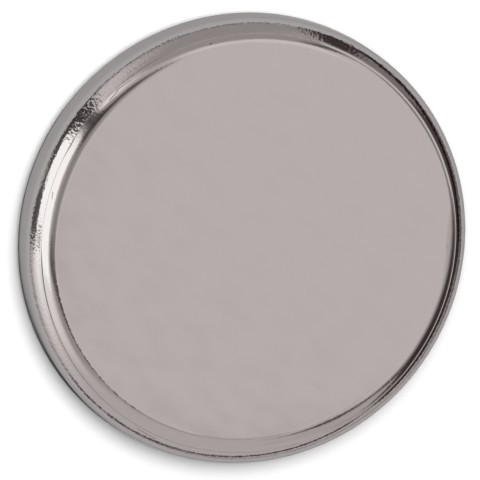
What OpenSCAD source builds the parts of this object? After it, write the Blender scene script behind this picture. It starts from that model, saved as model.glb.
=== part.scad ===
// Round, flat disc magnet: one solid piece, flat on both faces and rounded at both edges.
// The origin is the centre of the lower face, and +Z is the disc's axis.
// In section each edge runs: flat face, shallow shoulder, hair-fine step, main rounding, straight rim.

/* [Disc] */
// Outside diameter over the rim
disc_d = 12; // [5:0.5:40]
// Thickness over the two flat faces
disc_t = 1.5; // [1.5:0.1:10]

/* [Edge rounding] */
// Radius of the main rounding between the step and the rim, seen in section
edge_r = 0.5; // [0.2:0.05:0.6]
// Slope of the surface where the main rounding starts at the step, in degrees
edge_start = 16; // [12:1:40]

/* [Shoulder and step] */
// Radial width of the shallow shoulder around each flat face
shoulder_w = 0.35; // [0.1:0.05:0.6]
// Slope that the shoulder has reached where it meets the step, in degrees
shoulder_slope = 11.5; // [7.5:0.5:20]
// Radial width of the hair-fine step between the shoulder and the main rounding
step_w = 0.04; // [0.02:0.01:0.1]
// Slope of the step, in degrees
step_slope = 3; // [0.5:0.5:3.5]

/* [Hidden] */

// Sides of a full circle round the disc, and of the arcs in its section
round_fn = 240;
rounding_fn = 120;
shoulder_fn = 480;
// Overlap of the cutting shapes past the surfaces that they cut
over = 0.5;
nickel = [0.71, 0.68, 0.66];

// Radii at which one stretch of the edge gives way to the next, from the rim inwards
disc_r = disc_d / 2;
edge_centre_r = disc_r - edge_r;
edge_start_r = edge_centre_r + edge_r * sin(edge_start);
step_r = edge_start_r - step_w;
face_r = step_r - shoulder_w;
// Middle of the step, where the cut of the main rounding begins
step_mid_r = step_r + step_w / 2;

// Radius of the shoulder's arc, and heights of the upper edge from the face down to the rim
shoulder_r = shoulder_w / sin(shoulder_slope);
step_z = disc_t - shoulder_r * (1 - cos(shoulder_slope));
edge_centre_z = step_line_z(edge_start_r) - edge_r * cos(edge_start);

// Height of the line that the upper step lies on, at radius r
function step_line_z(r) = step_z - (r - step_r) * tan(step_slope);

// What comes off the upper edge to leave the shoulder and the step, in section
module shoulder_waste() {
    difference() {
        polygon([
            [face_r, step_line_z(face_r)],
            [disc_r + over, step_line_z(disc_r + over)],
            [disc_r + over, disc_t + over],
            [face_r, disc_t + over]
        ]);
        translate([face_r, disc_t - shoulder_r])
            circle(r = shoulder_r, $fn = shoulder_fn);
    }
}

// What comes off the upper edge to leave the main rounding, in section
module rounding_waste() {
    difference() {
        translate([step_mid_r, edge_centre_z])
            square([disc_r + over - step_mid_r, disc_t + over - edge_centre_z]);
        translate([edge_centre_r, edge_centre_z])
            circle(r = edge_r, $fn = rounding_fn);
    }
}

// All that comes off the upper edge of a square-cornered disc, in section
module edge_waste() {
    shoulder_waste();
    rounding_waste();
}

// Half section of the disc, from its axis to its rim
module disc_section() {
    difference() {
        square([disc_r, disc_t]);
        edge_waste();
        translate([0, disc_t])
            mirror([0, 1])
                edge_waste();
    }
}

// The plated disc, with the same edge at both faces
module magnet_disc() {
    color(nickel)
        rotate_extrude($fn = round_fn)
            disc_section();
}

magnet_disc();
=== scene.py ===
"""Looks of a nickel-plated disc magnet that lies on a white sheet in a small light tent."""

import logging
import math
from dataclasses import dataclass, fields
from enum import Enum

import bmesh
import bpy
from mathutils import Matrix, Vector


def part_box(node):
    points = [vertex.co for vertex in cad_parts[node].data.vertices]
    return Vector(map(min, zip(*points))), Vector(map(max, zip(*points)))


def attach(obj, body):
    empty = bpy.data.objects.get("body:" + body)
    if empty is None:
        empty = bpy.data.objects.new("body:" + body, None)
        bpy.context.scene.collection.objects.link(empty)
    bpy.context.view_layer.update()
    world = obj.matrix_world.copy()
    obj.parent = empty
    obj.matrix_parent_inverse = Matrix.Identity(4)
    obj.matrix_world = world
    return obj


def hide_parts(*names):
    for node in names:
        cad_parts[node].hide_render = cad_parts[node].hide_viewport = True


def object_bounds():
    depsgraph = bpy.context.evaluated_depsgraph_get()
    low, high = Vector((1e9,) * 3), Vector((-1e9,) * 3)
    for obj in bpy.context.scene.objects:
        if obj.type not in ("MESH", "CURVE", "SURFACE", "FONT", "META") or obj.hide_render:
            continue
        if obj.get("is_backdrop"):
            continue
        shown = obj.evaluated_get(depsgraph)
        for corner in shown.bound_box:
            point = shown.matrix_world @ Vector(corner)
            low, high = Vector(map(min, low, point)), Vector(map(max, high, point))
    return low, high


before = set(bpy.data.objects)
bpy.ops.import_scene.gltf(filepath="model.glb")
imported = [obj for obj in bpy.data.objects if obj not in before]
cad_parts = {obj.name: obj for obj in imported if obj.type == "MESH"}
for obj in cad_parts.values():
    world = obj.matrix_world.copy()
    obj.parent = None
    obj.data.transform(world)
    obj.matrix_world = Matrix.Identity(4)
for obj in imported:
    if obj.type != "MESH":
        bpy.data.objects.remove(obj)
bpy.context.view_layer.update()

LOG = logging.getLogger("disc_magnet")
MM = 0.001
Socket = bpy.types.NodeSocket
Input = float | Socket
Colour = tuple[float, float, float, float]


class Ray(Enum):
    """Kinds of ray that the white surroundings answer with plain white."""

    CAMERA = "Is Camera Ray"
    GLOSSY = "Is Glossy Ray"
    TRANSMISSION = "Is Transmission Ray"


class TreeWriter:
    """Adds nodes to one node tree and links them."""

    def __init__(self, tree: bpy.types.NodeTree) -> None:
        """Starts on the tree that the nodes go into."""
        self.tree = tree

    def add(self, kind: str, inputs: dict[str, object] | None = None, **settings: object) -> bpy.types.Node:
        """Adds one node.

        Args:
            kind: the node's type name.
            inputs: value or source socket for each named input.
            settings: the node's own properties.

        Returns:
            The new node.
        """
        node = self.tree.nodes.new(kind)
        for name, value in settings.items():
            setattr(node, name, value)
        for name, value in (inputs or {}).items():
            self.feed(node.inputs[name], value)
        return node

    def feed(self, target: Socket, value: object) -> None:
        """Links a socket to a source, or sets its value.

        Args:
            target: the input socket.
            value: an output socket, or a plain value.
        """
        if isinstance(value, bpy.types.NodeSocket):
            self.tree.links.new(value, target)
        else:
            target.default_value = value

    def math(self, operation: str, *values: Input, clamp: bool = False) -> Socket:
        """Adds a Math node.

        Args:
            operation: the node's operation.
            values: its operands, in order.
            clamp: whether the result stays between 0 and 1.

        Returns:
            The result socket.
        """
        node = self.add("ShaderNodeMath", operation=operation, use_clamp=clamp)
        for target, value in zip(node.inputs, values):
            self.feed(target, value)
        return node.outputs[0]

    def ramp(self, value: Input, start: Input, end: Input, low: Input = 0.0, high: Input = 1.0) -> Socket:
        """Adds a smooth step from one value to another.

        Args:
            value: what is mapped.
            start: where the step begins.
            end: where it is complete.
            low: the result at start.
            high: the result at end.

        Returns:
            The result socket.
        """
        sockets = {"Value": value, "From Min": start, "From Max": end, "To Min": low, "To Max": high}
        node = self.add("ShaderNodeMapRange", sockets, interpolation_type="SMOOTHSTEP")
        return node.outputs["Result"]

    def falls(self, value: Input, edge: Input, softness: Input) -> Socket:
        """Gives 1 below an edge and 0 above it, with a soft change between.

        Args:
            value: what is compared.
            edge: where the change is half done.
            softness: how wide the change is.

        Returns:
            The mask's socket.
        """
        start = self.math("MULTIPLY_ADD", softness, -0.5, edge)
        end = self.math("MULTIPLY_ADD", softness, 0.5, edge)
        return self.ramp(value, start, end, 1.0, 0.0)

    def _between(self, kind: str, mark: str, factor: Input, first: object, second: object) -> Socket:
        """Adds a Mix node.

        Args:
            kind: the node's data type.
            mark: how the identifiers of that type's sockets end.
            factor: share of the second end.
            first: result at factor 0.
            second: result at factor 1.

        Returns:
            The result socket.
        """
        node = self.add("ShaderNodeMix", {"Factor": factor}, data_type=kind)
        ends = {socket.identifier: socket for socket in node.inputs}
        self.feed(ends[f"A_{mark}"], first)
        self.feed(ends[f"B_{mark}"], second)
        return next(socket for socket in node.outputs if socket.identifier == f"Result_{mark}")

    def mix(self, factor: Input, first: Colour | Socket, second: Colour | Socket) -> Socket:
        """Mixes two colours: the first alone at factor 0, the second alone at factor 1."""
        return self._between("RGBA", "Color", factor, first, second)

    def blend(self, factor: Input, first: Input, second: Input) -> Socket:
        """Mixes two values: the first alone at factor 0, the second alone at factor 1."""
        return self._between("FLOAT", "Float", factor, first, second)

    def parts(self, vector: Socket) -> bpy.types.NodeOutputs:
        """Splits a vector into the sockets X, Y and Z."""
        return self.add("ShaderNodeSeparateXYZ", {"Vector": vector}).outputs

    def length(self, vector: Socket) -> Socket:
        """Measures a vector."""
        return self.add("ShaderNodeVectorMath", {"Vector": vector}, operation="LENGTH").outputs["Value"]

    def heading(self, place: bpy.types.NodeOutputs) -> Socket:
        """Gives the heading of a place split into X, Y and Z, in degrees anticlockwise from +X."""
        return self.math("DEGREES", self.math("ARCTAN2", place["Y"], place["X"]))

    def off_heading(self, heading: Input, middle: Input) -> Socket:
        """Gives how far a heading is from a middle one, between -180 and 180 degrees."""
        return self.math("WRAP", self.math("SUBTRACT", heading, middle), 180.0, -180.0)

    def noise(self, place: Socket, size: Input, detail: float) -> Socket:
        """Gives a soft noise from 0 to 1, with the size of its grains and its count of finer layers."""
        sockets = {"Vector": place, "Scale": self.math("DIVIDE", 1.0, size), "Detail": detail}
        return self.add("ShaderNodeTexNoise", sockets).outputs["Fac"]

    def point(self, x: Input = 0.0, y: Input = 0.0, z: Input = 0.0) -> Socket:
        """Combines three values into a vector."""
        return self.add("ShaderNodeCombineXYZ", {"X": x, "Y": y, "Z": z}).outputs["Vector"]

    def moved(self, geometry: Socket, by: Socket) -> Socket:
        """Moves a geometry by a vector."""
        node = self.add("GeometryNodeTransform", {"Geometry": geometry, "Translation": by})
        return node.outputs["Geometry"]

    def joined(self, *parts: Socket) -> Socket:
        """Joins geometries into one.

        Args:
            parts: the geometries.

        Returns:
            The joined geometry's socket.
        """
        node = self.add("GeometryNodeJoinGeometry")
        for part in parts:
            self.tree.links.new(part, node.inputs["Geometry"])
        return node.outputs["Geometry"]


class NodeGroup:
    """A node group with named inputs and outputs, built once and used in several places."""

    def __init__(self, name: str, kind: str = "ShaderNodeTree") -> None:
        """Makes the empty group.

        Args:
            name: the group's name.
            kind: ShaderNodeTree or GeometryNodeTree.
        """
        self.tree = bpy.data.node_groups.new(name, kind)
        self.write = TreeWriter(self.tree)
        self.sources = self.tree.nodes.new("NodeGroupInput")
        self.results = self.tree.nodes.new("NodeGroupOutput")

    def takes(self, name: str, kind: str = "NodeSocketFloat") -> Socket:
        """Adds a named input, and gives the socket inside the group that carries it."""
        self.tree.interface.new_socket(name, in_out="INPUT", socket_type=kind)
        return self.sources.outputs[name]

    def gives(self, name: str, source: Socket, kind: str = "NodeSocketFloat") -> None:
        """Adds a named output that the source inside the group feeds."""
        self.tree.interface.new_socket(name, in_out="OUTPUT", socket_type=kind)
        self.tree.links.new(source, self.results.inputs[name])

    def use(self, write: TreeWriter, values: dict[str, object], label: str = "") -> dict[str, Socket]:
        """Places the group in a tree.

        Args:
            write: writer of the tree that it goes into.
            values: values and sockets, among them one under the name of each input.
            label: what the placed group is for.

        Returns:
            The placed group's output sockets, by name.
        """
        wanted = [item.name for item in self.tree.interface.items_tree if item.in_out == "INPUT"]
        inputs = {name: values[name] for name in wanted}
        placed_group = write.add("ShaderNodeGroup", inputs, node_tree=self.tree, label=label)
        return dict(placed_group.outputs.items())


class Sizes:
    """Base of the sets of sizes that feed a node group: half_width, say, is for its input Half Width."""

    def sizes(self) -> dict[str, object]:
        """Gives each value under the name of its input."""
        return {field.name.replace("_", " ").title(): getattr(self, field.name) for field in fields(self)}


def new_material(name: str) -> tuple[bpy.types.Material, TreeWriter, bpy.types.Node]:
    """Makes an empty material.

    Args:
        name: the material's name.

    Returns:
        The material, a writer for its tree and its output node.
    """
    material = bpy.data.materials.new(name)
    material.use_nodes = True
    material.node_tree.nodes.clear()
    write = TreeWriter(material.node_tree)
    return material, write, write.add("ShaderNodeOutputMaterial")


def seen_by(write: TreeWriter, *rays: Ray) -> Socket:
    """Gives 1 for the named kinds of ray, and 0 for others.

    Args:
        write: writer of the tree.
        rays: the kinds of ray.

    Returns:
        The mask's socket.
    """
    light_path = write.add("ShaderNodeLightPath").outputs
    mask = light_path[rays[0].value]
    for ray in rays[1:]:
        mask = write.math("MAXIMUM", mask, light_path[ray.value])
    return mask


def finished_mesh(name: str, shell: bmesh.types.BMesh, material: bpy.types.Material) -> bpy.types.Mesh:
    """Turns a shell into a mesh with one material, and frees the shell.

    Args:
        name: the mesh's name.
        shell: its faces.
        material: what they are made of.

    Returns:
        The mesh.
    """
    mesh = bpy.data.meshes.new(name)
    shell.to_mesh(mesh)
    shell.free()
    mesh.materials.append(material)
    return mesh


def placed(name: str, data: bpy.types.ID) -> bpy.types.Object:
    """Makes an object and puts it into the scene.

    Args:
        name: the object's name.
        data: its mesh, lamp or camera.

    Returns:
        The new object.
    """
    thing = bpy.data.objects.new(name, data)
    bpy.context.scene.collection.objects.link(thing)
    return thing


def direction(heading: float, lift: float) -> Vector:
    """Gives the unit vector that points a heading and a lift, in degrees, away from the disc."""
    turn, rise = math.radians(heading), math.radians(lift)
    return Vector((math.cos(turn) * math.cos(rise), math.sin(turn) * math.cos(rise), math.sin(rise)))


@dataclass(frozen=True)
class EdgeSection(Sizes):
    """The disc's section from its axis to its rim, in metres and degrees."""

    rim_radius: float
    thickness: float
    edge_radius: float = 0.5 * MM
    edge_start: float = 16.0
    shoulder_width: float = 0.35 * MM
    shoulder_slope: float = 11.5
    step_width: float = 0.04 * MM
    step_slope: float = 3.0

    @property
    def edge_start_radius(self) -> float:
        """Distance from the axis at which the main rounding starts."""
        return self.rim_radius - self.edge_radius * (1 - math.sin(math.radians(self.edge_start)))

    @property
    def step_radius(self) -> float:
        """Distance from the axis at which the step starts."""
        return self.edge_start_radius - self.step_width

    @property
    def face_radius(self) -> float:
        """Radius of the flat face."""
        return self.step_radius - self.shoulder_width


class LatheTree(NodeGroup):
    """Geometry Nodes tree that turns the section round the axis and mirrors it to the other face."""

    segments_around: int = 480
    face_rings: int = 6
    shoulder_rings: int = 20
    step_rings: int = 5
    edge_rings: int = 34
    rim_rings: int = 3
    weld_distance: float = 0.0004 * MM

    def __init__(self) -> None:
        """Builds the tree."""
        super().__init__("turned_disc", "GeometryNodeTree")
        self._build()

    def _line(self, start: tuple[Input, Input], end: tuple[Input, Input], rings: int) -> Socket:
        """Adds a straight stretch of the section.

        Args:
            start: distance outside the rim (negative inside it) and depth of the first point.
            end: the same for the last point.
            rings: how many points the stretch has.

        Returns:
            The curve's socket.
        """
        ends = {"Start": self.write.point(*start), "End": self.write.point(*end)}
        line = self.write.add("GeometryNodeCurvePrimitiveLine", ends).outputs["Curve"]
        spaced = self.write.add("GeometryNodeResampleCurve", {"Curve": line, "Count": rings})
        return spaced.outputs["Curve"]

    def _arc(
        self, centre: tuple[Input, Input], radius: Input, start: Input, sweep: Input, rings: int
    ) -> Socket:
        """Adds a round stretch of the section.

        Args:
            centre: distance outside the rim and depth of the arc's centre.
            radius: the arc's radius.
            start: slope at the first point, in radians.
            sweep: how far the slope turns, in radians.
            rings: how many points the stretch has.

        Returns:
            The curve's socket.
        """
        turned = self.write.math("SUBTRACT", start, math.pi / 2)
        sizes = {"Resolution": rings, "Radius": radius, "Start Angle": turned, "Sweep Angle": sweep}
        arc = self.write.add("GeometryNodeCurveArc", sizes, mode="RADIUS")
        return self.write.moved(arc.outputs["Curve"], self.write.point(*centre))

    def _section(self) -> tuple[Socket, Socket, Socket]:
        """Writes the section from the axis to half the thickness.

        Returns:
            The section's curves, the rim's radius and half the thickness.
        """
        takes, math_node = self.takes, self.write.math
        rim, thickness = takes("Rim Radius"), takes("Thickness")
        edge, edge_start = takes("Edge Radius"), math_node("RADIANS", takes("Edge Start"))
        shoulder_width, step_width = takes("Shoulder Width"), takes("Step Width")
        shoulder_slope = math_node("RADIANS", takes("Shoulder Slope"))
        step_slope = math_node("RADIANS", takes("Step Slope"))

        axis_x = math_node("MULTIPLY", rim, -1.0)
        edge_x = math_node("MULTIPLY", edge, -1.0)
        edge_start_x = math_node("MULTIPLY_ADD", edge, math_node("SINE", edge_start), edge_x)
        step_x = math_node("SUBTRACT", edge_start_x, step_width)
        face_x = math_node("SUBTRACT", step_x, shoulder_width)
        shoulder = math_node("DIVIDE", shoulder_width, math_node("SINE", shoulder_slope))
        shoulder_share = math_node("SUBTRACT", 1.0, math_node("COSINE", shoulder_slope))
        step_depth = math_node("MULTIPLY", shoulder, shoulder_share)
        step_fall = math_node("TANGENT", step_slope)
        edge_start_depth = math_node("MULTIPLY_ADD", step_width, step_fall, step_depth)
        edge_depth = math_node("MULTIPLY_ADD", edge, math_node("COSINE", edge_start), edge_start_depth)
        edge_sweep = math_node("SUBTRACT", math.pi / 2, edge_start)
        half = math_node("MULTIPLY", thickness, 0.5)

        stretches = (
            self._line((axis_x, 0.0), (face_x, 0.0), self.face_rings),
            self._arc((face_x, shoulder), shoulder, 0.0, shoulder_slope, self.shoulder_rings),
            self._line((step_x, step_depth), (edge_start_x, edge_start_depth), self.step_rings),
            self._arc((edge_x, edge_depth), edge, edge_start, edge_sweep, self.edge_rings),
            self._line((0.0, edge_depth), (0.0, half), self.rim_rings),
        )
        return self.write.joined(*stretches), rim, half

    def _build(self) -> None:
        """Writes the whole tree: section, sweep round the axis, mirror, weld and material."""
        section, rim, half = self._section()
        material = self.takes("Material", "NodeSocketMaterial")
        around = {"Resolution": self.segments_around, "Radius": rim}
        circle = self.write.add("GeometryNodeCurvePrimitiveCircle", around, mode="RADIUS")
        sweep = {"Curve": circle.outputs["Curve"], "Profile Curve": section}
        swept = self.write.add("GeometryNodeCurveToMesh", sweep)
        lift = self.write.point(0.0, 0.0, half)
        upper = self.write.moved(swept.outputs["Mesh"], lift)
        mirrored = self.write.add("GeometryNodeTransform", {"Geometry": upper, "Scale": (1.0, 1.0, -1.0)})
        lower = self.write.add("GeometryNodeFlipFaces", {"Mesh": mirrored.outputs["Geometry"]})
        both = self.write.joined(upper, lower.outputs["Mesh"])
        weld = {"Geometry": both, "Distance": self.weld_distance}
        welded = self.write.add("GeometryNodeMergeByDistance", weld)
        resting = self.write.moved(welded.outputs["Geometry"], lift)
        smooth = self.write.add("GeometryNodeSetShadeSmooth", {"Geometry": resting})
        real = self.write.add("GeometryNodeRealizeInstances", {"Geometry": smooth.outputs["Geometry"]})
        finish = {"Geometry": real.outputs["Geometry"], "Material": material}
        dressed = self.write.add("GeometryNodeSetMaterial", finish)
        self.gives("Geometry", dressed.outputs["Geometry"], "NodeSocketGeometry")


class DiscPlaces(NodeGroup):
    """Shader group that gives each point's place on a disc: radius, height and heading."""

    def __init__(self) -> None:
        """Builds the group."""
        super().__init__("disc_places")
        point = self.write.add("ShaderNodeTexCoord").outputs["Object"]
        parts = self.write.parts(point)
        self.gives("Point", point, "NodeSocketVector")
        self.gives("Radius", self.write.length(self.write.point(parts["X"], parts["Y"])))
        self.gives("Height", parts["Z"])
        self.gives("Heading", self.write.heading(parts))


class OrangePeel(NodeGroup):
    """Shader group for the uneven skin of tumbled and plated metal, as a height."""

    def __init__(self) -> None:
        """Builds the group."""
        super().__init__("orange_peel")
        write, takes = self.write, self.takes
        point = takes("Point", "NodeSocketVector")
        grain, fine_share = takes("Grain Size"), takes("Fine Share")
        half_grain = write.math("MULTIPLY", grain, 0.5)
        coarse, fine = write.noise(point, grain, 0.0), write.noise(point, half_grain, 1.0)
        self.gives("Height", write.math("MULTIPLY_ADD", fine, fine_share, coarse))


class DrawMarks(NodeGroup):
    """Shader group for fine lines that run round the rim, as a height."""

    def __init__(self) -> None:
        """Builds the group."""
        super().__init__("draw_marks")
        write, takes = self.write, self.takes
        radius, height, heading = takes("Radius"), takes("Height"), takes("Heading")
        pitch, length = takes("Pitch"), takes("Length")
        turn = write.math("RADIANS", heading)
        reach = write.math("DIVIDE", math.degrees(1.0), length)
        along_x = write.math("MULTIPLY", write.math("COSINE", turn), reach)
        along_y = write.math("MULTIPLY", write.math("SINE", turn), reach)
        place = write.point(along_x, along_y, write.math("DIVIDE", radius, pitch))
        sockets = {"Vector": place, "W": write.math("DIVIDE", height, pitch), "Scale": 1.0, "Detail": 2.0}
        noise = write.add("ShaderNodeTexNoise", sockets, noise_dimensions="4D")
        self.gives("Height", noise.outputs["Fac"])


class Blotches(NodeGroup):
    """Shader group for broad, faint unevenness, from 0 to 1."""

    def __init__(self) -> None:
        """Builds the group."""
        super().__init__("blotches")
        write, takes = self.write, self.takes
        point = takes("Point", "NodeSocketVector")
        size, turn, stretch = takes("Size"), takes("Turn"), takes("Stretch")
        spin = {"Vector": point, "Angle": turn}
        turned = write.add("ShaderNodeVectorRotate", spin, rotation_type="Z_AXIS")
        parts = write.parts(turned.outputs["Vector"])
        place = write.point(write.math("DIVIDE", parts["X"], stretch), parts["Y"], parts["Z"])
        self.gives("Value", write.noise(place, size, 3.0))


class ArcScratch(NodeGroup):
    """Shader group that masks one hair-fine scratch along an arc round the disc's axis."""

    full_share: float = 0.6

    def __init__(self) -> None:
        """Builds the group."""
        super().__init__("arc_scratch")
        write, takes = self.write, self.takes
        radius, heading = takes("Radius"), takes("Heading")
        middle, arc, half_arc = takes("Arc Heading"), takes("Arc Radius"), takes("Half Arc")
        drift, half_width = takes("Drift"), takes("Half Width")
        off = write.off_heading(heading, middle)
        centre = write.math("MULTIPLY_ADD", off, drift, arc)
        across = write.math("ABSOLUTE", write.math("SUBTRACT", radius, centre))
        thin = write.ramp(across, 0.0, half_width, 1.0, 0.0)
        fade_start = write.math("MULTIPLY", half_arc, self.full_share)
        ends = write.ramp(write.math("ABSOLUTE", off), fade_start, half_arc, 1.0, 0.0)
        self.gives("Mask", write.math("MULTIPLY", thin, ends))


@dataclass(frozen=True)
class Scratch(Sizes):
    """One scratch along an arc: its place, how it drifts outwards, its width, its depth and its dirt.

    Headings and arcs are in degrees, lengths in metres, and the drift in metres for each degree.
    """

    arc_heading: float
    arc_radius: float
    half_arc: float
    drift: float = 0.0
    half_width: float = 0.014 * MM
    depth: float = 0.003 * MM
    soil: float = 0.6


@dataclass(frozen=True)
class WornStretch:
    """A worn stretch of the step: the heading of its middle, half its arc and how far out it reaches."""

    heading: float
    half_arc: float
    reach: float


class RubbedEdge(NodeGroup):
    """Shader group that masks small dark flecks where an edge was rubbed, along an arc round the axis."""

    full_share: float = 0.8
    fleck_start: float = 0.48
    fleck_full: float = 0.56

    def __init__(self) -> None:
        """Builds the group."""
        super().__init__("rubbed_edge")
        write, takes = self.write, self.takes
        point = takes("Point", "NodeSocketVector")
        radius, heading = takes("Radius"), takes("Heading")
        edge, half_width = takes("Edge Radius"), takes("Half Width")
        middle, half_arc, grain = takes("Arc Heading"), takes("Half Arc"), takes("Grain Size")
        across = write.math("ABSOLUTE", write.math("SUBTRACT", radius, edge))
        near = write.ramp(across, 0.0, half_width, 1.0, 0.0)
        off = write.math("ABSOLUTE", write.off_heading(heading, middle))
        arc = write.ramp(off, write.math("MULTIPLY", half_arc, self.full_share), half_arc, 1.0, 0.0)
        flecks = write.ramp(write.noise(point, grain, 1.0), self.fleck_start, self.fleck_full)
        self.gives("Mask", write.math("MULTIPLY", near, write.math("MULTIPLY", arc, flecks)))


@dataclass(frozen=True)
class NickelPlate:
    """Bright nickel plate: mirror-like faces, an uneven skin on the rounded edge, and fine marks.

    The shares from the face to the rim say how much of the skin shows there, and soils how dark marks are.
    """

    section: EdgeSection
    # Colours, and how rough the clean and the dull places are
    colour: Colour = (0.659, 0.599, 0.599, 1.0)
    dull_colour: Colour = (0.639, 0.580, 0.580, 1.0)
    edge_tint: Colour = (0.8, 0.78, 0.78, 1.0)
    scratch_colour: Colour = (0.2, 0.17, 0.165, 1.0)
    roughness: float = 0.045
    dull_roughness: float = 0.075
    step_roughness: float = 0.07
    step_fade: float = 0.01 * MM
    # Blotches of clean and dull places
    blotch_size: float = 0.5 * MM
    blotch_turn: float = 0.6
    blotch_stretch: float = 2.0
    dull_start: float = 0.3
    dull_full: float = 0.7
    # Skin: orange peel, and lines whose length is in degrees
    peel_grain: float = 0.068 * MM
    peel_fine_share: float = 0.5
    peel_height: float = 0.0019 * MM
    draw_pitch: float = 0.05 * MM
    draw_length: float = 12.0
    draw_height: float = 0.0009 * MM
    # Where the skin shows, from the face to the rim
    skin_start: float = 0.04 * MM
    skin_full: float = 0.02 * MM
    face_edge_share: float = 0.2
    face_edge_width: float = 0.12 * MM
    shoulder_share: float = 0.1
    rounding_fade: float = 0.02 * MM
    inner_share: float = 0.6
    inner_width: float = 0.24 * MM
    outer_share: float = 2.4
    rounding_depth: float = 0.38 * MM
    rim_depth: float = 0.6 * MM
    rim_share: float = 0.2
    # Worn step and rubbed edge of the face
    worn_slope: float = 7.5
    worn_half_fade: float = 4.0
    worn_stretches: tuple[WornStretch, ...] = (
        WornStretch(110.0, 38.0, 0.04 * MM),
        WornStretch(167.0, 14.0, 0.03 * MM),
        WornStretch(-32.0, 44.0, 0.018 * MM),
    )
    rub_heading: float = -147.0
    rub_half_arc: float = 26.0
    rub_half_width: float = 0.034 * MM
    rub_offset: float = 0.0272 * MM
    rub_grain: float = 0.09 * MM
    rub_soil: float = 0.9
    # A speck, a short scratch and a nick on the shoulder, then hairline marks that run round the axis
    scratches: tuple[Scratch, ...] = (
        Scratch(102.5, 5.50 * MM, 0.35, half_width=0.03 * MM, depth=0.0, soil=1.0),
        Scratch(-2.15, 5.392 * MM, 0.65, -0.106 * MM, 0.016 * MM, 0.0014 * MM, 0.0),
        Scratch(-44.3, 5.50 * MM, 0.45, -0.183 * MM, 0.035 * MM, 0.002 * MM, 0.0),
        Scratch(124.0, 5.618 * MM, 15.0, 0.0, 0.014 * MM, 0.0006 * MM, 0.4),
        Scratch(135.0, 5.47 * MM, 2.5, 0.010 * MM, 0.012 * MM, 0.002 * MM, 0.8),
        Scratch(133.0, 5.53 * MM, 2.0, -0.010 * MM, 0.012 * MM, 0.002 * MM, 0.8),
        Scratch(129.0, 5.56 * MM, 3.0, 0.006 * MM, 0.010 * MM, 0.0015 * MM, 0.6),
        Scratch(165.0, 5.54 * MM, 1.2, -0.012 * MM, 0.016 * MM, 0.002 * MM, 0.5),
        Scratch(-90.0, 5.235 * MM, 17.0, half_width=0.03 * MM, depth=0.0, soil=0.35),
        Scratch(-118.0, 5.618 * MM, 40.0, half_width=0.016 * MM, depth=0.0, soil=0.35),
        Scratch(122.0, 5.72 * MM, 5.0, 0.002 * MM, soil=0.3),
        Scratch(-118.0, 5.70 * MM, 4.0, 0.004 * MM, soil=0.3),
    )

    def material(self) -> bpy.types.Material:
        """Builds the material.

        Returns:
            The finished material.
        """
        material, write, output = new_material("nickel_plate")
        places = DiscPlaces().use(write, {})
        blotches = {"Size": self.blotch_size, "Turn": self.blotch_turn, "Stretch": self.blotch_stretch}
        dull = Blotches().use(write, places | blotches)["Value"]
        clean = write.mix(dull, self.colour, self.dull_colour)
        scratched, grooves = self._scratched(write, places)
        soiled = write.math("MAXIMUM", scratched, self._rubbed(write, places))
        polish = write.ramp(dull, self.dull_start, self.dull_full, self.roughness, self.dull_roughness)
        height = write.math("ADD", self._relief(write, places), grooves)
        surface = {
            "Base Color": write.mix(soiled, clean, self.scratch_colour),
            "Metallic": 1.0,
            "Roughness": write.blend(self._step(write, places["Radius"]), polish, self.step_roughness),
            "Specular Tint": self.edge_tint,
            "Normal": write.add("ShaderNodeBump", {"Height": height, "Distance": 1.0}).outputs["Normal"],
        }
        shader = write.add("ShaderNodeBsdfPrincipled", surface)
        write.feed(output.inputs["Surface"], shader.outputs["BSDF"])
        return material

    def _step(self, write: TreeWriter, radius: Socket) -> Socket:
        """Masks the hair-fine step.

        Args:
            write: writer of the material's tree.
            radius: distance from the disc's axis.

        Returns:
            The mask's socket.
        """
        half = self.section.step_width / 2
        off = write.math("ABSOLUTE", write.math("SUBTRACT", radius, self.section.step_radius + half))
        return write.ramp(off, half, half + self.step_fade, 1.0, 0.0)

    def _relief(self, write: TreeWriter, places: dict[str, Socket]) -> Socket:
        """Adds up the relief: the skin on the edge, weak on the shoulder and the rim, and the worn step.

        Args:
            write: writer of the material's tree.
            places: the point's place on the disc.

        Returns:
            The height's socket.
        """
        peel_sizes = {"Grain Size": self.peel_grain, "Fine Share": self.peel_fine_share}
        draw_sizes = {"Pitch": self.draw_pitch, "Length": self.draw_length}
        peel = OrangePeel().use(write, places | peel_sizes)["Height"]
        draw = DrawMarks().use(write, places | draw_sizes)["Height"]
        peel_height = write.math("MULTIPLY", peel, self.peel_height)
        skin = write.math("MULTIPLY_ADD", draw, self.draw_height, peel_height)
        share = self._skin_share(write, places["Radius"], places["Height"])
        return write.math("MULTIPLY_ADD", skin, share, self._worn(write, places))

    def _skin_share(self, write: TreeWriter, radius: Socket, height: Socket) -> Socket:
        """Gives how much of the skin shows: none on the faces, most on the main rounding.

        Args:
            write: writer of the material's tree.
            radius: distance from the disc's axis.
            height: height above the lower face.

        Returns:
            The share's socket.
        """
        face, start, top = self.section.face_radius, self.section.edge_start_radius, self.section.thickness
        face_edge = (face, face + self.face_edge_width, self.face_edge_share, self.shoulder_share)
        begins = write.ramp(radius, face - self.skin_start, face + self.skin_full)
        shoulder = write.math("MULTIPLY", write.ramp(radius, *face_edge), begins)
        rounding = write.ramp(radius, start, start + self.inner_width, self.inner_share, self.outer_share)
        edge = write.ramp(radius, start - self.rounding_fade, start)
        rim = write.ramp(height, top - self.rim_depth, top - self.rounding_depth, self.rim_share, 1.0)
        return write.math("MULTIPLY", write.blend(edge, shoulder, rounding), rim)

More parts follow.
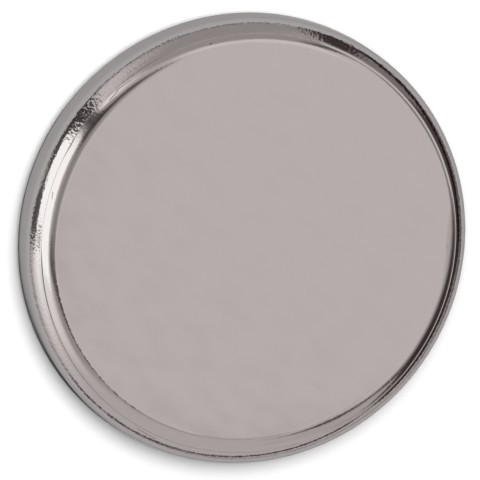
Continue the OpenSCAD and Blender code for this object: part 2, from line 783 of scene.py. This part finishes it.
    def _worn(self, write: TreeWriter, places: dict[str, Socket]) -> Socket:
        """Steepens the inner part of the step where tumbling wore it away.

        Args:
            write: writer of the material's tree.
            places: the point's place on the disc.

        Returns:
            The height's socket.
        """
        reach: Input = 0.0
        for stretch in self.worn_stretches:
            off = write.math("ABSOLUTE", write.off_heading(places["Heading"], stretch.heading))
            fade = (stretch.half_arc - self.worn_half_fade, stretch.half_arc + self.worn_half_fade)
            reach = write.math("MAXIMUM", reach, write.ramp(off, *fade, stretch.reach, 0.0))
        along = write.math("SUBTRACT", places["Radius"], self.section.step_radius)
        worn = write.math("MINIMUM", write.math("MAXIMUM", along, 0.0), reach)
        return write.math("MULTIPLY", worn, -math.tan(math.radians(self.worn_slope)))

    def _rubbed(self, write: TreeWriter, places: dict[str, Socket]) -> Socket:
        """Masks the flecks along the face's edge.

        Args:
            write: writer of the material's tree.
            places: the point's place on the disc.

        Returns:
            The mask's socket.
        """
        sizes = {
            "Edge Radius": self.section.face_radius + self.rub_offset,
            "Half Width": self.rub_half_width,
            "Arc Heading": self.rub_heading,
            "Half Arc": self.rub_half_arc,
            "Grain Size": self.rub_grain,
        }
        return write.math("MULTIPLY", RubbedEdge().use(write, places | sizes)["Mask"], self.rub_soil)

    def _scratched(self, write: TreeWriter, places: dict[str, Socket]) -> tuple[Socket, Socket]:
        """Lays the scratches over each other.

        Args:
            write: writer of the material's tree.
            places: the point's place on the disc.

        Returns:
            The mask of all scratches, and their height.
        """
        groove = ArcScratch()
        mask: Input = 0.0
        height: Input = 0.0
        for scratch in self.scratches:
            this = groove.use(write, places | scratch.sizes())["Mask"]
            mask = write.math("MAXIMUM", mask, write.math("MULTIPLY", this, scratch.soil))
            height = write.math("MULTIPLY_ADD", this, -scratch.depth, height)
        return mask, height


@dataclass(frozen=True)
class MagnetDisc:
    """The whole magnet: one turned and plated disc."""

    node: str = "magnet_disc"
    body: str = "root"
    slot: str = "nickel_plate"

    @property
    def section(self) -> EdgeSection:
        """The disc's section, from the size of the CAD disc."""
        low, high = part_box(self.node)
        return EdgeSection(rim_radius=min(high.x, high.y, -low.x, -low.y), thickness=high.z - low.z)

    def build(self) -> bpy.types.Object:
        """Turns the disc on its Geometry Nodes tree and lets it stand for the CAD disc.

        Returns:
            The finished piece.
        """
        section = self.section
        tree = LatheTree().tree
        disc = placed("plated_disc", bpy.data.meshes.new("plated_disc"))
        lathe = disc.modifiers.new("lathe", "NODES")
        lathe.node_group = tree
        values = section.sizes() | {"Material": NickelPlate(section).material()}
        for item in tree.interface.items_tree:
            if item.in_out == "INPUT":
                lathe[item.identifier] = values[item.name]
        evaluated = disc.evaluated_get(bpy.context.evaluated_depsgraph_get())
        disc.data = bpy.data.meshes.new_from_object(evaluated)
        disc.modifiers.clear()
        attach(disc, self.body)
        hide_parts(self.node)
        return disc


@dataclass(frozen=True)
class WallZone(Sizes):
    """A stretch of the tent's wall with its own brightness, in degrees round and above the disc.

    Headings run anticlockwise from +X, and lifts run from the sheet (0) to overhead (90). A slant is how
    far the stretch rises for each degree of heading.
    """

    name: str
    heading: float
    half_width: float
    low: float
    high: float
    side_softness: float
    rise_softness: float
    level: float
    slant: float = 0.0


@dataclass(frozen=True)
class RoofZone(Sizes):
    """A rectangle on the tent's roof with its own brightness, in degrees across from overhead.

    A spread is how much its half width grows for each degree of length, which makes it a wedge.
    """

    name: str
    centre_x: float
    centre_y: float
    turn: float
    half_length: float
    half_width: float
    softness: float
    level: float
    spread: float = 0.0


class WallPattern(NodeGroup):
    """Shader group that masks one stretch of the tent's wall."""

    def __init__(self) -> None:
        """Builds the group."""
        super().__init__("wall_zone")
        write, takes = self.write, self.takes
        point = takes("Point", "NodeSocketVector")
        middle, half = takes("Heading"), takes("Half Width")
        low, high, slant = takes("Low"), takes("High"), takes("Slant")
        side_soft, rise_soft = takes("Side Softness"), takes("Rise Softness")
        away = write.add("ShaderNodeVectorMath", {"Vector": point}, operation="NORMALIZE")
        parts = write.parts(away.outputs["Vector"])
        off = write.off_heading(write.heading(parts), middle)
        side = write.falls(write.math("ABSOLUTE", off), half, side_soft)
        level = write.math("DEGREES", write.math("ARCSINE", parts["Z"]))
        lift = write.math("SUBTRACT", level, write.math("MULTIPLY", off, slant))
        floor = write.math("SUBTRACT", 1.0, write.falls(lift, low, rise_soft))
        roof = write.falls(lift, high, rise_soft)
        self.gives("Mask", write.math("MULTIPLY", side, write.math("MULTIPLY", floor, roof)))


class RoofPattern(NodeGroup):
    """Shader group that masks one rectangle or wedge on the tent's roof."""

    least_reach: float = 0.00001

    def __init__(self) -> None:
        """Builds the group."""
        super().__init__("roof_zone")
        write, takes = self.write, self.takes
        point = takes("Point", "NodeSocketVector")
        across, along = takes("Centre X"), takes("Centre Y")
        turn, softness, spread = takes("Turn"), takes("Softness"), takes("Spread")
        half_length, half_width = takes("Half Length"), takes("Half Width")
        parts = write.parts(point)
        reach = write.length(write.point(parts["X"], parts["Y"]))
        angle = write.math("DEGREES", write.math("ARCTAN2", reach, parts["Z"]))
        stretch = write.math("DIVIDE", angle, write.math("MAXIMUM", reach, self.least_reach))
        east = write.math("SUBTRACT", write.math("MULTIPLY", parts["X"], stretch), across)
        north = write.math("SUBTRACT", write.math("MULTIPLY", parts["Y"], stretch), along)
        spin = write.math("RADIANS", turn)
        cosine, sine = write.math("COSINE", spin), write.math("SINE", spin)
        length = write.math("MULTIPLY_ADD", east, cosine, write.math("MULTIPLY", north, sine))
        sideways = write.math("MULTIPLY", east, sine)
        width = write.math("SUBTRACT", write.math("MULTIPLY", north, cosine), sideways)
        half_across = write.math("MULTIPLY_ADD", length, spread, half_width)
        inside = write.falls(write.math("ABSOLUTE", length), half_length, softness)
        beside = write.falls(write.math("ABSOLUTE", width), half_across, softness)
        self.gives("Mask", write.math("MULTIPLY", inside, beside))


@dataclass(frozen=True)
class LightTent:
    """The tent that the plating mirrors: a pale window, walls and roof, and a dark post, cards and seams.

    It lights nothing else. It is slightly warm, and slightly cool where it is brighter than full_light.
    """

    radius: float = 1.0
    rings: int = 48
    segments: int = 64
    skirt: float = 0.05
    base: float = 0.58
    warmth: float = 0.0115
    blue_share: float = 0.985
    full_light: float = 0.8
    coolness: float = 0.12
    # Each zone is laid over those before it
    zones: tuple[WallZone | RoofZone, ...] = (
        # Pale window and its glow, over a dim horizon
        WallZone("horizon", 0, 200, -20, 10, 1, 20, 0.35),
        WallZone("window_glow", -172, 37, 32, 140, 56, 58, 1.35),
        RoofZone("glow_top", -14, -15.5, -3.4, 15, 5, 10, 1.06),
        RoofZone("window", -33, -3.5, -3.4, 34, 9, 2, 1.47),
        RoofZone("window_side", -37.4, 13.5, -37, 28, 12, 1.5, 1.47),
        # Walls beside the window, and its frame and sill
        WallZone("bright_wall", 135, 12, 12, 140, 20, 16, 0.75),
        WallZone("dim_wall", 80, 30, 4, 140, 24, 16, 0.38),
        WallZone("far_line", 105, 36, -20, 6.5, 8, 3, 0.2),
        RoofZone("window_frame", -55, -7.8, -3.4, 35, 1.2, 2, 0.25),
        WallZone("window_sill", 168, 20.5, -10, 28.5, 2, 3, 0.10),
        WallZone("sill_corner", -179, 10, 20, 38, 1.5, 3, 0.12),
        WallZone("sill_gap", 167, 4, -10, 14, 3, 6, 0.5),
        # Dark stretches opposite the window and beside it
        WallZone("far_corner", 20, 18, 10, 52, 8, 14, 0.24),
        WallZone("far_shade", -15, 31, 22, 53.5, 4, 8, 0.08),
        WallZone("far_floor", 8, 40, -10, 22, 30, 20, 0.16),
        WallZone("back_flag", -3, 44, 16.5, 32.5, 6, 7, 0.01, slant=-0.31),
        RoofZone("side_flag", 40.2, 41.8, 61, 38, 8.3, 3, 0.05, spread=0.194),
        WallZone("low_edge_right", -88, 38, 12.5, 22, 6, 4, 0.06, slant=0.35),
        # Roof overhead
        RoofZone("dim_roof", 16, 15, 0, 13, 11, 4, 0.40),
        RoofZone("bright_top", -3, 4, -33, 6, 4, 5, 1.05),
        RoofZone("roof_shade", 7.3, -7.5, 12, 3.2, 6.5, 4, 0.34),
        RoofZone("shade_core", 7.8, -3.5, -20, 2.6, 1.6, 2, 0.13),
        RoofZone("shade_foot", 8.5, -15, 20, 4.5, 2.2, 4, 0.40),
        # Cards and seams on the roof
        RoofZone("roof_card", 22, -2.99, 12, 10.9, 8.7, 0.9, 0.704),
        RoofZone("card_corner", 19.6, -13.9, -38, 7, 3.85, 0.9, 0.704),
        RoofZone("far_seam", 34.9, 2.7, -55, 11.5, 4.7, 2.4, 0.22),
        RoofZone("dark_side", 43.4, -22.6, 53, 16, 14, 9, 0.04),
        RoofZone("roof_gap", 22.3, 8.2, 35, 3.8, 1.3, 2, 0.12),
        RoofZone("card_rim", 15, 1.5, 8, 6, 2.2, 3, 0.83),
        RoofZone("card_edge", 7.4, -12.3, -8, 4.3, 0.9, 1.4, 0.09),
        RoofZone("card_foot", 13.2, -14.1, 0, 3.2, 0.55, 0.6, 0.34),
        RoofZone("low_card", 22.3, -25.5, -19, 6.5, 3.2, 1.2, 0.53),
        RoofZone("near_seam", 17.9, -18.7, -41, 2.7, 0.8, 0.9, 0.05),
        RoofZone("roof_seam", 23.3, -21.4, -18, 4.3, 0.9, 1.2, 0.08),
        # Post, from the sheet up to the roof
        WallZone("stand_post", 143, 6.3, -10, 140, 2, 3, 0.05),
        RoofZone("post_top", -1, 0.35, -37.8, 10.5, 1.35, 0.9, 0.06),
    )

    def build(self) -> bpy.types.Object:
        """Makes the dome and its glowing cloth.

        Returns:
            The tent, which the camera looks through.
        """
        shell = bmesh.new()
        globe = {"u_segments": self.segments, "v_segments": self.rings, "radius": self.radius}
        bmesh.ops.create_uvsphere(shell, **globe)
        below = [vertex for vertex in shell.verts if vertex.co.z < -self.skirt * self.radius]
        bmesh.ops.delete(shell, geom=below, context="VERTS")
        tent = placed("light_tent", finished_mesh("light_tent", shell, self._cloth()))
        tent.visible_camera = False
        tent.visible_shadow = False
        tent.visible_diffuse = False
        tent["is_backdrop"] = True
        return tent

    def _cloth(self) -> bpy.types.Material:
        """Builds the cloth, which glows only towards rays that met no matt surface before it.

        Returns:
            The glowing material.
        """
        material, write, output = new_material("tent_cloth")
        point = write.add("ShaderNodeTexCoord").outputs["Object"]
        patterns = {WallZone: WallPattern(), RoofZone: RoofPattern()}
        level: Input = self.base
        for zone in self.zones:
            mask = patterns[type(zone)].use(write, {"Point": point} | zone.sizes(), zone.name)["Mask"]
            level = write.blend(mask, level, zone.level)
        excess = write.math("MAXIMUM", write.math("SUBTRACT", level, self.full_light), 0.0)
        warm = write.math("ADD", level, self.warmth)
        red = write.math("SUBTRACT", warm, write.math("MULTIPLY", excess, self.coolness))
        colour = write.point(red, level, write.math("MULTIPLY", level, self.blue_share))
        matt_bounces = write.add("ShaderNodeLightPath").outputs["Diffuse Depth"]
        strength = write.math("LESS_THAN", matt_bounces, 1.0)
        glow = write.add("ShaderNodeEmission", {"Color": colour, "Strength": strength})
        write.feed(output.inputs["Surface"], glow.outputs["Emission"])
        return material


@dataclass(frozen=True)
class WhiteSheet:
    """The white sheet that the disc lies on, with a painted contact shadow where the disc's lower rounding
    meets it.

    The plating mirrors a duller and slightly cooler sheet than the camera sees, darkened towards the disc
    by painted shade.
    """

    radius: float = 1.0
    drop: float = 0.002 * MM
    segments: int = 96
    plain: Colour = (0.8, 0.8, 0.8, 1.0)
    # What the plating mirrors of the sheet: darker near the disc, which is painted shade
    mirrored_near: float = 0.5
    mirrored_far: float = 0.57
    near: float = 6.4 * MM
    far: float = 9.5 * MM
    mirrored_tint: tuple[float, float, float] = (0.965, 1.0, 0.995)
    # Painted contact shadow: how dark it is, where it starts and ends, and on which side of the disc it
    # lies
    painted_shade_level: float = 0.22
    contact: float = 6.025 * MM
    clear_seen: float = 6.05 * MM
    clear_mirrored: float = 6.17 * MM
    seen_shift: tuple[float, float, float] = (0.1405 * MM, -0.1125 * MM, 0.0)
    contact_heading: float = -155.0
    contact_half_arc: float = 64.0
    contact_fade: float = 24.0

    def build(self) -> bpy.types.Object:
        """Makes the sheet.

        Returns:
            The sheet, marked as stage.
        """
        shell = bmesh.new()
        bmesh.ops.create_circle(shell, cap_ends=True, segments=self.segments, radius=self.radius)
        bmesh.ops.translate(shell, verts=shell.verts, vec=(0.0, 0.0, -self.drop))
        sheet = placed("white_sheet", finished_mesh("white_sheet", shell, self._paper()))
        sheet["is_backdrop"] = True
        return sheet

    def _paper(self) -> bpy.types.Material:
        """Builds matt paper that is lifted to plain white where it is seen, keeps its shadow, and has a
        painted contact shadow.

        Returns:
            The paper's material.
        """
        material, write, output = new_material("white_paper")
        point = write.add("ShaderNodeTexCoord").outputs["Object"]
        shifted = write.add("ShaderNodeVectorMath", {"Vector": point}, operation="SUBTRACT")
        shifted.inputs[1].default_value = self.seen_shift
        beside = write.length(shifted.outputs["Vector"])
        # Painted contact shadow on the sheet, as the camera sees it
        seen = self._painted_contact_shade(write, point, beside, self.clear_seen)
        away = write.length(point)
        # Painted shade: the mirrored sheet darkens towards the disc
        level = write.ramp(away, self.near, self.far, self.mirrored_near, self.mirrored_far)
        # The painted contact shadow also darkens the sheet that the plating mirrors
        mirrored = write.math("MULTIPLY", level, self._painted_contact_shade(write, point, away, self.clear_mirrored))
        tinted = write.point(*(write.math("MULTIPLY", mirrored, part) for part in self.mirrored_tint))
        colour = write.mix(seen_by(write, Ray.GLOSSY, Ray.TRANSMISSION), self.plain, tinted)
        colour = write.mix(seen_by(write, Ray.CAMERA), colour, write.point(seen, seen, seen))
        matt = write.add("ShaderNodeBsdfDiffuse", {"Color": colour})
        write.feed(output.inputs["Surface"], matt.outputs["BSDF"])
        return material

    def _painted_contact_shade(self, write: TreeWriter, point: Socket, away: Socket, clear: float) -> Socket:
        """Paints shade on the sheet right where the disc touches it, on the side that its shadow falls to.

        Args:
            write: writer of the material's tree.
            point: place on the sheet.
            away: distance from the middle of the dark gap.
            clear: distance at which the sheet is plain again.

        Returns:
            The share of its level that the sheet keeps.
        """
        off = write.off_heading(write.heading(write.parts(point)), self.contact_heading)
        side = write.falls(write.math("ABSOLUTE", off), self.contact_half_arc, self.contact_fade)
        return write.blend(side, 1.0, write.ramp(away, self.contact, clear, self.painted_shade_level))


@dataclass(frozen=True)
class Surroundings:
    """White background behind the sheet, which lights the disc only faintly."""

    ambient: float = 0.16

    def build(self) -> bpy.types.World:
        """Makes the world.

        Returns:
            The world, already in use.
        """
        world = bpy.data.worlds.new("white_room")
        bpy.context.scene.world = world
        world.use_nodes = True
        world.node_tree.nodes.clear()
        write = TreeWriter(world.node_tree)
        strength = write.ramp(seen_by(write, *Ray), 0.0, 1.0, self.ambient, 1.0)
        light = write.add("ShaderNodeBackground", {"Color": (1.0, 1.0, 1.0, 1.0), "Strength": strength})
        output = write.add("ShaderNodeOutputWorld")
        write.feed(output.inputs["Surface"], light.outputs["Background"])
        return world


@dataclass(frozen=True)
class KeyLamp:
    """Soft overhead lamp that gives the disc its shadow."""

    heading: float = 106.0
    lift: float = 73.0
    distance: float = 0.5
    size: float = 0.306
    power: float = 2.5

    def build(self) -> bpy.types.Object:
        """Hangs the lamp and aims it at the disc.

        Returns:
            The lamp.
        """
        data = bpy.data.lights.new("key_lamp", "AREA")
        data.shape = "DISK"
        data.size = self.size
        data.energy = self.power
        lamp = placed("key_lamp", data)
        away = direction(self.heading, self.lift)
        lamp.location = away * self.distance
        lamp.rotation_mode = "QUATERNION"
        lamp.rotation_quaternion = (-away).to_track_quat("-Z", "Y")
        lamp.visible_glossy = False
        return lamp


@dataclass(frozen=True)
class ViewCamera:
    """Long-lens camera that looks steeply down on the disc."""

    heading: float = 141.3
    lift: float = 71.52
    lens: float = 800.0
    frame_width: float = 12.638 * MM
    right_of_middle: float = 0.0745 * MM
    above_middle: float = 0.0416 * MM
    clip_ratio: float = 10.0

    def build(self) -> bpy.types.Object:
        """Places the camera; it is tilted straight from overhead, so +Y stays near the picture's top.

        Returns:
            The camera, already in use.
        """
        data = bpy.data.cameras.new("view_camera")
        data.lens = self.lens
        camera = placed("view_camera", data)
        low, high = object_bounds()
        away = direction(self.heading, self.lift)
        tilt = Vector((0.0, 0.0, 1.0)).rotation_difference(away)
        distance = self.frame_width * data.lens / data.sensor_width
        side, up = tilt @ Vector((1.0, 0.0, 0.0)), tilt @ Vector((0.0, 1.0, 0.0))
        aim = (low + high) / 2 - side * self.right_of_middle - up * self.above_middle
        camera.rotation_mode = "QUATERNION"
        camera.rotation_quaternion = tilt
        camera.location = aim + away * distance
        data.clip_start, data.clip_end = distance / self.clip_ratio, distance * self.clip_ratio
        bpy.context.scene.camera = camera
        return camera


def main() -> None:
    """Builds the disc and its studio."""
    logging.basicConfig(level=logging.INFO, format="%(name)s: %(message)s")
    bpy.context.scene.view_settings.view_transform = "Standard"
    for maker in (MagnetDisc(), ViewCamera(), WhiteSheet(), LightTent(), Surroundings(), KeyLamp()):
        piece = maker.build()
        LOG.info("%s: %s", type(maker).__name__, piece.name)


if __name__ == "__main__":
    main()
